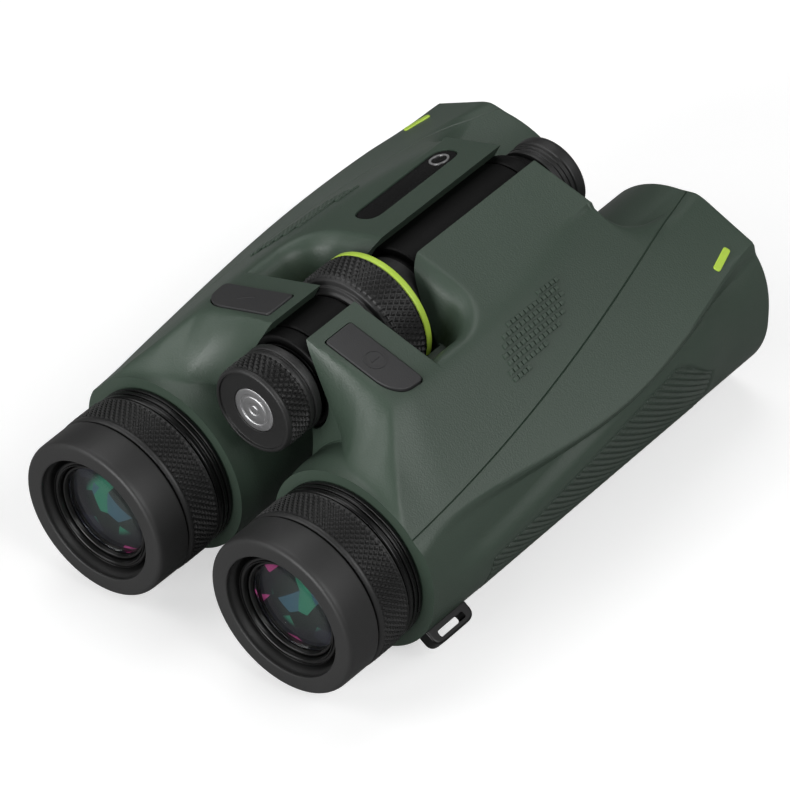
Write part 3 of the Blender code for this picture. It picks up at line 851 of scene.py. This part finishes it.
def model_eyepiece(hand):
    line = barrel_line[hand]
    half = hand + "_half"
    cup = spin(hand + "_rubber_cup", [
        (21.95, 0.9, 1.2), (22.04, 10.3, 0.5), (17.7, 10.4, 0.2), (17.7, 20.3, 0.1), (16.45, 20.3, 0.1),
        (16.45, 2.6, 0.6), (17.0, 1.2, 0.5), (16.9, 0.05, 0.6), (21.2, 0, 0.7)], line, 128)
    finish(cup, hand + "_eyecup", cup_black, "rubber", hand + "_eyecup")

    ring = spin(hand + "_dioptre_band", [
        (17.95, 10.8, 0.1), (21.7, 10.85, 0.3), (22.2, 11.6, 0.4), (22.2, 12.3, 0.3), (21.7, 12.6, 0.2),
        (21.7, 21.0, 0.2), (22.0, 21.2, 0.2), (21.9, 21.6, 0.2), (17.95, 21.6, 0.1)], line, 128)
    studs = knurl(hand + "_dioptre_studs", line, 22.28, 12.8, 20.9, 8, 84, 0.62)
    finish(join(hand + "_dioptre_grip", [ring, studs]), hand + "_dioptre_ring", knurl_black, "rubber",
           hand + "_dioptre_ring")

    base = spin(hand + "_base_grooves", [
        (15.6, 21.95, 0.1), (21.5, 21.95, 0.3), (21.9, 22.4, 0.2), (21.9, 23.3, 0.2), (21.3, 23.5, 0.1),
        (21.3, 23.9, 0.1), (21.9, 24.1, 0.2), (21.9, 24.9, 0.2), (21.3, 25.1, 0.1), (21.3, 25.5, 0.1),
        (21.9, 25.7, 0.2), (21.8, 26.7, 0.2), (15.6, 26.7, 0.1)], line, 128)
    finish(base, half, plastic_black, "black_plastic", hand + "_base_ring")

    tube = spin(hand + "_eye_barrel", [
        (13.6, 3.5, 0.3), (13.9, 2.7, 0.3), (14.2, 2.6, 0.2), (14.3, 3.1, 0.1), (14.8, 3.1, 0.1),
        (14.9, 2.6, 0.2),
        (15.2, 2.9, 0.3), (15.2, 26.95, 0), (17.9, 26.95, 0.1), (17.9, 46, 0.1), (13.6, 46, 0.1)], line, 96)
    finish(tube, half, lens_black, "black_plastic", hand + "_eyepiece_tube")

    cell = spin(hand + "_lens_mount", [
        (12.3, 4.7, 0.2), (12.7, 3.7, 0.4), (13.3, 3.9, 0.3), (13.3, 22, 0.1), (12.6, 22, 0.1),
        (12.6, 8.6, 0.1),
        (12.3, 8.4, 0.1)], line, 96)
    finish(cell, hand + "_ocular", lens_black, "dark_metal", hand + "_ocular_cell")

    lens = spin(hand + "_eye_glass", dome(12.2, 32.0, 5.0, -1) + [(12.2, 7.0, 0), (0, 7.0, 0)], line, 96)
    finish(lens, hand + "_ocular", clear_glass, "coated_glass", hand + "_eye_lens")
    # Behind the eye lens, a disc with the painted reflections, painted shade and painted glow.
    inner_face = spin(hand + "_eye_painted_reflections", dome(12.3, 40.0, 9.4, -1) + [(12.3, 10.2, 0),
                                                                          (0, 10.2, 0)], line, 96)
    finish(inner_face, hand + "_ocular", painted_reflections, "coated_glass")


for hand in SIDES:
    model_eyepiece(hand)

# %% [markdown]
# ## Hinge line
# Behind the slot a black tube carries the battery and the hinge collars. A knurled cap closes it at the rear,
# another at the front, and the focus wheel turns on it in the finger hollow.

# %% Hinge tube, collars, caps and focus wheel
TUBE = 10.75
tube = spin("hinge_barrel", [
    (8.3, 41.5, 0), (TUBE, 41.5, 0.2), (TUBE, 50.2, 0.1), (10.45, 50.3, 0), (10.45, 50.7, 0),
    (TUBE, 50.8, 0.1),
    (TUBE, 134.2, 0.2), (5.9, 134.2, 0), (5.9, 110, 0), (0, 110, 0), (0, 73.4, 0),
    (8.3, 73.4, 0)], hinge_line, 96)
# The hinge tube and its collars take the shaded copy of black plastic, which is painted shade for the slot.
finish(tube, "left_half", shaded_tube_black, "black_plastic", "hinge_tube")

for node, body in (("left_rear_collar", "left_half"), ("right_rear_collar", "right_half"),
                   ("right_front_collar", "right_half"), ("left_front_collar", "left_half")):
    low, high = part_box(node)
    rear, front = (low.y - REAR) / MM, (high.y - REAR) / MM
    outer = (high.x - low.x) / 2 / MM
    collar = spin(node + "_turned", [
        (11.05, rear, 0.1), (outer - 0.4, rear, 0.3), (outer, rear + 0.5, 0.2), (outer, front - 0.5, 0.2),
        (outer - 0.4, front, 0.3), (11.05, front, 0.1)], hinge_line, 96)
    finish(collar, body, shaded_tube_black, "black_plastic", node)

knob = spin("battery_knob", [
    (0, 28.95, 0), (6.1, 28.95, 0), (6.2, 28.55, 0.1), (10.5, 28.55, 0.1), (10.6, 27.85, 0.15),
    (11.3, 27.85, 0.4), (11.85, 28.8, 0.4), (11.5, 29.4, 0.2),
    (11.2, 29.6, 0.1), (11.2, 35.6, 0.1), (11.8, 35.9, 0.3), (11.8, 36.9, 0.3), (11.3, 37.2, 0.1),
    (11.3, 37.7, 0.1), (11.9, 37.9, 0.3), (11.9, 39.9, 0.3), (8, 39.95, 0), (8, 43.4, 0), (0, 43.4, 0)],
    hinge_line, 128)
knob_studs = knurl("knob_studs", hinge_line, 11.9, 29.6, 35.6, 5, 44, 0.65)
finish(join("battery_knob", [knob, knob_studs]), "battery_cap", knurl_black, "rubber", "battery_cap")
emblem = spin("knob_emblem", [
    (0, 28.62, 0), (1.0, 28.62, 0.1), (1.1, 28.78, 0.05), (1.55, 28.78, 0.05), (1.65, 28.62, 0.1),
    (3.5, 28.62, 0.1),
    (3.6, 28.78, 0.05), (4.2, 28.78, 0.05), (4.3, 28.62, 0.1), (5.9, 28.62, 0.15), (6.0, 28.93, 0),
    (0, 28.93, 0)],
    hinge_line, 96, 20)
finish(emblem, "battery_cap", silver_metal, "bright_metal", "battery_cap_emblem")

front = spin("front_knob", [
    (0, 143.4, 0), (9.3, 144.1, 0.4), (10.9, 143.7, 0.6), (11.2, 142.9, 0.4), (11.2, 140.4, 0.3),
    (10.7, 140.1, 0.1),
    (10.7, 139.6, 0.1), (11.0, 139.4, 0.1), (11.0, 138.9, 0.1), (10.6, 138.7, 0.1), (10.6, 138.2, 0.1),
    (11.0, 138.0, 0.1), (11.0, 137.5, 0.1), (10.6, 137.3, 0.1), (10.6, 136.8, 0.1), (11.0, 136.6, 0.1),
    (11.0, 135.45, 0.2), (5.3, 135.4, 0), (5.3, 130.4, 0), (0, 130.4, 0)], hinge_line, 128)
finish(front, "front_cap", knurl_black, "rubber", "front_cap")

wheel = spin("focus_grip", [
    (11.05, 61.9, 0), (12.8, 61.95, 0.3), (13.3, 62.5, 0.2), (14.2, 62.7, 0.2), (14.5, 63.3, 0.2),
    (15.8, 63.5, 0.3),
    (16.4, 64.4, 0.3), (16.7, 64.6, 0.1), (16.7, 72.9, 0.1), (17.2, 73.05, 0.1), (15.4, 73.1, 0.1),
    (15.4, 75.45, 0.1),
    (16.3, 75.6, 0.3), (14.0, 76.1, 0.5), (11.6, 77.5, 0.3), (11.05, 83, 0)], hinge_line, 128)
wheel_studs = knurl("wheel_studs", hinge_line, 17.3, 64.5, 72.9, 6, 62, 0.75)
finish(join("focus_grip", [wheel, wheel_studs]), "focus_wheel", knurl_black, "rubber", "focus_wheel")
band = spin("focus_band", [(15.55, 73.35, 0.1), (17.15, 73.3, 0.5), (17.15, 75.3, 0.5), (15.55, 75.25, 0.1)],
            hinge_line, 128)
finish(band, "focus_wheel", lime_plastic, "lime", "focus_wheel_ring")

# %% [markdown]
# ## Keys, badge, marks and pads
# The two rubber keys stand a little proud of the roof, each with a low raised symbol. The left roof carries a
# small black plate, left plain but for a ring, and each bell a bright dash.

# %% Keys and badge
def raised_ring(name, inner, outer, low, high, at, placing):
    """A flat ring on a plate, as a low relief."""
    deselect()
    bpy.ops.mesh.primitive_circle_add(vertices=48, radius=outer * MM, fill_type="NGON")
    piece = bpy.context.object
    piece.name = name
    edit_all(piece)
    bpy.ops.mesh.inset(thickness=(outer - inner) * MM, depth=0)
    bpy.ops.mesh.delete(type="FACE")
    bpy.ops.mesh.select_all(action="SELECT")
    bpy.ops.mesh.extrude_region_move(TRANSFORM_OT_translate={"value": (0, 0, (high - low) * MM)})
    bpy.ops.object.mode_set(mode="OBJECT")
    piece.data.transform(placing @ Matrix.Translation((at[0] * MM, at[1] * MM, low * MM)))
    heal(piece, 30)
    return piece


KEY_TOP, MARK_LOW, MARK_HIGH = 0.45, 0.40, 0.59
for name, side in (("measure_button", 1), ("mode_button", -1)):
    half = "right_half" if side > 0 else "left_half"
    key = plate(name + "_key", key_outline(side, 0), -1.45, KEY_TOP, roof_frame(side), bevel=0.35)
    middle = side * (BUTTON_INNER + BUTTON_OUTER) / 2 * STRETCH
    middle_y = BUTTON_STATION + REAR / MM
    if side > 0:
        ring = raised_ring("key_ring", 2.5, 2.9, MARK_LOW, MARK_HIGH, (middle, middle_y), roof_frame(side))
        tick = [(middle - 0.2, middle_y - 1.2), (middle + 0.2, middle_y - 1.2),
                (middle + 0.2, middle_y + 1.4),
                (middle - 0.2, middle_y + 1.4)]
    else:
        ring = None
        tick = [(middle - 2.3, middle_y - 0.6), (middle - 2.2, middle_y - 0.95),
                (middle + 2.3, middle_y + 0.6),
                (middle + 2.2, middle_y + 0.95)]
    mark = plate("key_mark", tick, MARK_LOW, MARK_HIGH, roof_frame(side))
    pieces = [key, mark] + ([ring] if ring else [])
    finish(join(name + "_key", pieces), name, key_grey, "button", name)

badge = plate("badge_panel", badge_outline(-0.1), -0.85, -0.25, roof_frame(-1), bevel=0.2)
finish(badge, "left_half", plastic_black, "black_plastic", "badge_plate")
badge_ring = raised_ring("badge_ring", 2.1, 2.7, -0.3, -0.12, (-18.2, 120.9 + REAR / MM), roof_frame(-1))
finish(badge_ring, "left_half", silver_metal, "bright_metal")

# %% [markdown]
# A patch of small raised dots helps the fingers on each roof. One dot is a little block with its top drawn
# in, and it is copied to every place of a square lattice that falls inside the patch's leaning outline.

# %% Finger dots
DOT_ALONG, DOT_ACROSS = 1.68, 1.42
PATCH = ((31, 106.5), (37.5, 101.5), (39, 98), (43, 75.5), (37, 78), (33.5, 81.5))


def inside_patch(x, station):
    """Whether a place is inside the patch: it lies on the same side of every edge."""
    for (x0, s0), (x1, s1) in zip(PATCH, PATCH[1:] + PATCH[:1]):
        if (x1 - x0) * (station - s0) - (s1 - s0) * (x - x0) > 0:
            return False
    return True


def upper_height(x, station):
    """Height of the armour's upper side above the barrel's axis, at a distance from the hinge plane."""
    angles = np.linspace(25, 118, 187)
    reach = armour_radius(angles, np.full(angles.shape, station))
    return np.interp(-x, -(BARREL_X + reach * cosine(angles)), reach * sine(angles))


def stand_on(side, x, station):
    """A matrix that stands a piece on the armour with its own y along the barrel."""
    step = 0.4
    middle = upper_height(x, station)
    across = Vector((1, 0, side * (upper_height(x + step, station) - middle) / step)).normalized()
    ahead = Vector((0, 1, (upper_height(x, station + step) - middle) / step)).normalized()
    normal = across.cross(ahead).normalized()
    place = Matrix.Translation((side * x * MM, REAR + station * MM, (FOOT + middle) * MM))
    return place @ Matrix((ahead.cross(normal), ahead, normal)).transposed().to_4x4()


def model_dots(hand):
    side = SIDES[hand]
    deselect()
    bpy.ops.mesh.primitive_cube_add(size=1)
    dot = bpy.context.object
    edit_all(dot)
    bpy.ops.transform.resize(value=(1.22 * MM, 1.46 * MM, 0.5 * MM))
    bpy.ops.mesh.select_mode(type="FACE")
    bpy.ops.mesh.select_all(action="DESELECT")
    bpy.ops.object.mode_set(mode="OBJECT")
    for polygon in dot.data.polygons:
        polygon.select = polygon.normal.z > 0.5
    bpy.ops.object.mode_set(mode="EDIT")
    bpy.ops.mesh.inset(thickness=0.2 * MM, depth=0.14 * MM)
    bpy.ops.mesh.select_mode(type="VERT")
    bpy.ops.object.mode_set(mode="OBJECT")
    copies = []
    for column in range(16):
        for row in range(24):
            x = 27.6 + column * DOT_ACROSS
            station = 70.0 + row * DOT_ALONG
            if not inside_patch(x, station):
                continue
            copy = dot.copy()
            copy.data = dot.data.copy()
            bpy.context.scene.collection.objects.link(copy)
            copy.data.transform(stand_on(side, x, station) @ Matrix.Translation((0, 0, 0.08 * MM)))
            copies.append(copy)
    bpy.data.objects.remove(dot)
    piece = join(hand + "_finger_dots", copies)
    finish(piece, hand + "_half", armour_green, "armour")
    print(piece.name, len(copies), "dots")


for hand in SIDES:
    model_dots(hand)

# %% Dashes on the bells and strap lugs
for hand, side in SIDES.items():
    angle, radius, slope = 49.0, 29.05, 62.0
    turn = Matrix.Rotation(math.radians(90 - slope) * side, 4, "Y")
    place = Matrix.Translation((side * (BARREL_X + radius * cosine(angle)) * MM, REAR + 149.2 * MM,
                                (FOOT + radius * sine(angle)) * MM))
    half_width, half_length = 1.0, 3.9
    outline = soften([(-half_width, -half_length, 0.8), (half_width, -half_length, 0.8),
                      (half_width, half_length, 0.8), (-half_width, half_length, 0.8)], 6)
    lean = Matrix.Rotation(math.radians(18) * side, 4, "Z")
    dash = plate(hand + "_dash", outline, -0.8, 0.4, place @ turn @ lean, bevel=0.18)
    finish(dash, hand + "_half", lime_plastic, "lime", hand + "_lime_mark")

    lug_turn = Matrix.Translation(barrel_line[hand]) @ Matrix.Rotation(math.radians(38) * side, 4, "Y")
    rear, front = 28.2 + REAR / MM, 42.8 + REAR / MM
    outline = soften([(24.6, rear, 0.4), (29.7, rear, 3.4), (29.7, front, 3.4), (24.6, front, 0.4)], 8)
    lug = plate(hand + "_lug", [(side * x, y) for x, y in outline], -1.9, 1.9, lug_turn, bevel=0.7)
    hole = soften([(26.6, rear + 2.6, 0.7), (28.4, rear + 2.6, 0.7), (28.4, front - 2.6, 0.7),
                   (26.6, front - 2.6, 0.7)], 6)
    cut(lug, plate("lug cutter", [(side * x, y) for x, y in hole], -4, 4, lug_turn))
    take(lug)
    bpy.ops.object.shade_smooth_by_angle(angle=math.radians(35))
    finish(lug, hand + "_half", plastic_black, "black_plastic", hand + "_strap_lug")

# %% Objectives
for hand in SIDES:
    line = barrel_line[hand]
    ring = spin(hand + "_bell_ring", [(20.4, 156.9, 0.2), (22.1, 156.8, 0.1), (22.1, 159.4, 0.2),
                                      (21.2, 159.3, 0.3),
                                      (20.4, 157.8, 0.2)], line, 128)
    finish(ring, hand + "_half", dark_metal, "dark_metal", hand + "_objective_ring")
    lens = spin(hand + "_bell_glass", dome(21.8, 100.0, 154.2, 1) + [(21.8, 150.2, 0),
                                                                     (0, 149.6, 0)], line, 96)
    finish(lens, hand + "_half", clear_glass, "coated_glass", hand + "_objective_lens")
    # Behind the objective lens, a disc with the painted reflections, painted shade and painted glow.
    inner_face = spin(hand + "_bell_painted_reflections", dome(21.8, 60.0, 143.4, 1) + [(21.8, 142.6, 0),
                                                                            (0, 142.6, 0)], line, 96)
    finish(inner_face, hand + "_half", bell_painted_reflections, "coated_glass")

# %% [markdown]
# ## Inner pieces
# The seals, battery, prisms and electronics keep their CAD shapes and take the same finishes.

# %% Finishes for the carried-over nodes
inner = {
    dark_metal: ["laser_emitter", "laser_receiver", "left_focus_cell", "right_focus_cell",
                 "left_eyecup_key_ring", "right_eyecup_key_ring"],
    silver_metal: ["battery"],
    brass_metal: ["battery_contact", "tripod_bush"],
    board_green: ["circuit_board"],
    plastic_black: ["display_module", "left_switch", "right_switch"],
    cup_black: ["battery_cap_seal", "front_cap_seal"],
    clear_glass: ["left_focus_lens", "right_focus_lens", "left_prism_block", "right_prism_block"],
}
for finish_material, names in inner.items():
    for name in names:
        mesh = frame["nodes"][name].data
        mesh.materials.clear()
        mesh.materials.append(finish_material)
print(sum(len(names) for names in inner.values()), "nodes carried over")

# %% [markdown]
# ## Stage, light and camera
# The floor is a sheet of white paper. White paper would also throw a veil of light up into every dark
# surface, so only the camera sees it white: for light that bounces, a Light Path node swaps it for a mid
# grey. A little emission keeps its shadow soft. The light is five wide soft lamps. The strongest stands low
# behind the eyepieces, and the next on the right.

# %% Floor
deselect()
bpy.ops.mesh.primitive_plane_add(size=6)
floor = bpy.context.object
floor.name = "floor"
paper = bpy.data.materials.new("paper")
paper.use_nodes = True
paper_nodes, paper_link = paper.node_tree.nodes, paper.node_tree.links.new
white = paper_nodes["Principled BSDF"]
white.inputs["Base Color"].default_value = (0.6, 0.6, 0.6, 1)
white.inputs["Roughness"].default_value = 0.9
white.inputs["Emission Color"].default_value = (1, 1, 1, 1)
white.inputs["Emission Strength"].default_value = 0.55
grey = paper_nodes.new("ShaderNodeBsdfDiffuse")
grey.inputs["Color"].default_value = (0.3, 0.3, 0.3, 1)
either = paper_nodes.new("ShaderNodeMixShader")
paper_link(paper_nodes.new("ShaderNodeLightPath").outputs["Is Camera Ray"], either.inputs[0])
paper_link(grey.outputs[0], either.inputs[1])
paper_link(white.outputs[0], either.inputs[2])
paper_link(either.outputs[0], paper_nodes["Material Output"].inputs[0])
floor.data.materials.append(paper)

# %% Light
scene = bpy.context.scene
scene.view_settings.view_transform = "Standard"
scene.view_settings.look = "None"
world = bpy.data.worlds.new("studio")
scene.world = world
world.use_nodes = True
world.node_tree.nodes["Background"].inputs["Color"].default_value = (1, 1, 1, 1)
world.node_tree.nodes["Background"].inputs["Strength"].default_value = 0.08


def soft_light(name, azimuth, elevation, strength):
    """A lamp far away and 35 degrees wide. The azimuth turns from behind the eyepieces to the right."""
    lamp = bpy.data.lights.new(name, "SUN")
    lamp.angle = math.radians(35)
    lamp.energy = strength
    holder = bpy.data.objects.new(name, lamp)
    scene.collection.objects.link(holder)
    turn, lift = math.radians(azimuth), math.radians(elevation)
    towards = Vector((math.cos(lift) * math.sin(turn), -math.cos(lift) * math.cos(turn), math.sin(lift)))
    holder.rotation_euler = towards.to_track_quat("Z", "Y").to_euler()


soft_light("key", 0, 12, 2.57)
soft_light("right", 90, 38, 1.29)
soft_light("left", -45, 38, 0.78)
soft_light("far left", -135, 64, 0.65)
soft_light("far right", 135, 38, 0.26)

# %% Camera
AZIMUTH, ELEVATION, ROLL = (math.radians(angle) for angle in (42.13, 39.18, -3.97))
AIM = Vector((0.0332, -0.0378, 0.0666))
DISTANCE = 1.2987
lens = bpy.data.cameras.new("camera")
lens.sensor_width = 36
lens.lens = 250.1
camera = bpy.data.objects.new("camera", lens)
scene.collection.objects.link(camera)
right = Vector((math.cos(AZIMUTH), math.sin(AZIMUTH), 0))
level = math.cos(ELEVATION)
back = Vector((math.sin(AZIMUTH) * level, -math.cos(AZIMUTH) * level, math.sin(ELEVATION)))
up = back.cross(right)
rolled_right = right * math.cos(ROLL) + up * math.sin(ROLL)
rolled_up = up * math.cos(ROLL) - right * math.sin(ROLL)
camera.matrix_world = Matrix.Translation(AIM + back * DISTANCE) @ Matrix(
    (rolled_right, rolled_up, back)).transposed().to_4x4()
scene.camera = camera
